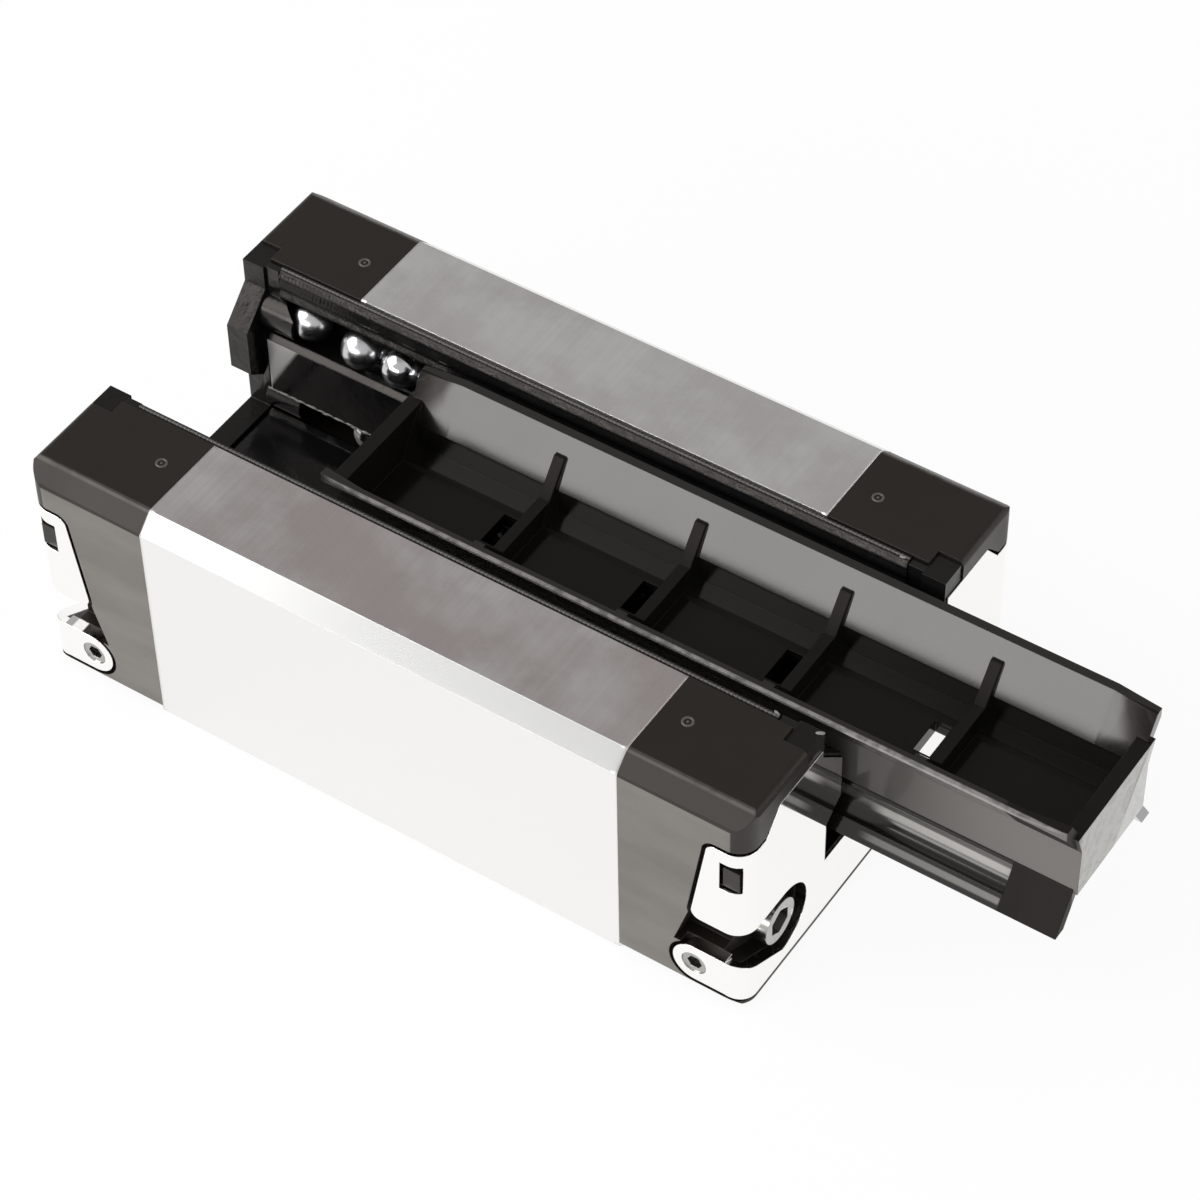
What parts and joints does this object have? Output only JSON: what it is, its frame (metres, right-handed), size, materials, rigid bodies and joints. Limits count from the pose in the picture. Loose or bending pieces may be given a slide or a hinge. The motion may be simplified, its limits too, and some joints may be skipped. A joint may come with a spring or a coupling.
{
  "type": "linear ball runner block",
  "caption": "Narrow recirculating ball runner block for a profile rail, lying on its mounting face with its mounting arbor drawn partly out.",
  "frame": {"origin": "centre of the mounting face", "axes": "+X along the rail towards the end where the arbor comes out, +Y across to the far leg, +Z away from the mounting face"},
  "size_m": [0.0971, 0.044, 0.0254],
  "materials": {
    "ground_steel": "ground, fine cross grain on the leg tips",
    "raceway_steel": "hardened and ground",
    "ball_steel": "polished",
    "stainless": "mirror polished sheet",
    "screw_steel": "satin",
    "cap_plastic": "satin black moulding",
    "guide_plastic": "oiled black moulding",
    "seal_rubber": "oiled black rubber",
    "arbor_plastic": "half gloss black moulding"
  },
  "bodies": {
    "block": {"ball_retainer_far": "guide_plastic", "ball_retainer_near": "guide_plastic", "balls_far_upper": "ball_steel", "cover_plate_front": "stainless", "cover_plate_rear": "stainless", "end_cap_front": "cap_plastic", "end_cap_rear": "cap_plastic", "end_port_screw_front": "screw_steel", "end_port_screw_rear": "screw_steel", "end_screws_front": "screw_steel", "end_screws_rear": "screw_steel", "end_seal_front": "seal_rubber", "end_seal_rear": "seal_rubber", "raceway_far_lower": "raceway_steel", "raceway_far_upper": "raceway_steel", "raceway_near_lower": "raceway_steel", "raceway_near_upper": "raceway_steel", "return_guide_front_far": "guide_plastic", "return_guide_front_near": "guide_plastic", "return_guide_rear_far": "guide_plastic", "return_guide_rear_near": "guide_plastic", "runner_body": "ground_steel", "seal_strip_far": "seal_rubber", "seal_strip_near": "seal_rubber", "side_port_screws_front": "screw_steel", "side_port_screws_rear": "screw_steel", "slot_liner": "guide_plastic", "turn_core_front_far": "guide_plastic", "turn_core_front_near": "guide_plastic", "turn_core_rear_far": "guide_plastic", "turn_core_rear_near": "guide_plastic"},
    "arbor": {"mounting_arbor": "arbor_plastic"}
  },
  "joints": [
    {"name": "arbor_slide", "type": "slide", "parent": "block", "child": "arbor", "axis": [1, 0, 0], "range_m": [-0.02185, 0.0525]}
  ]
}
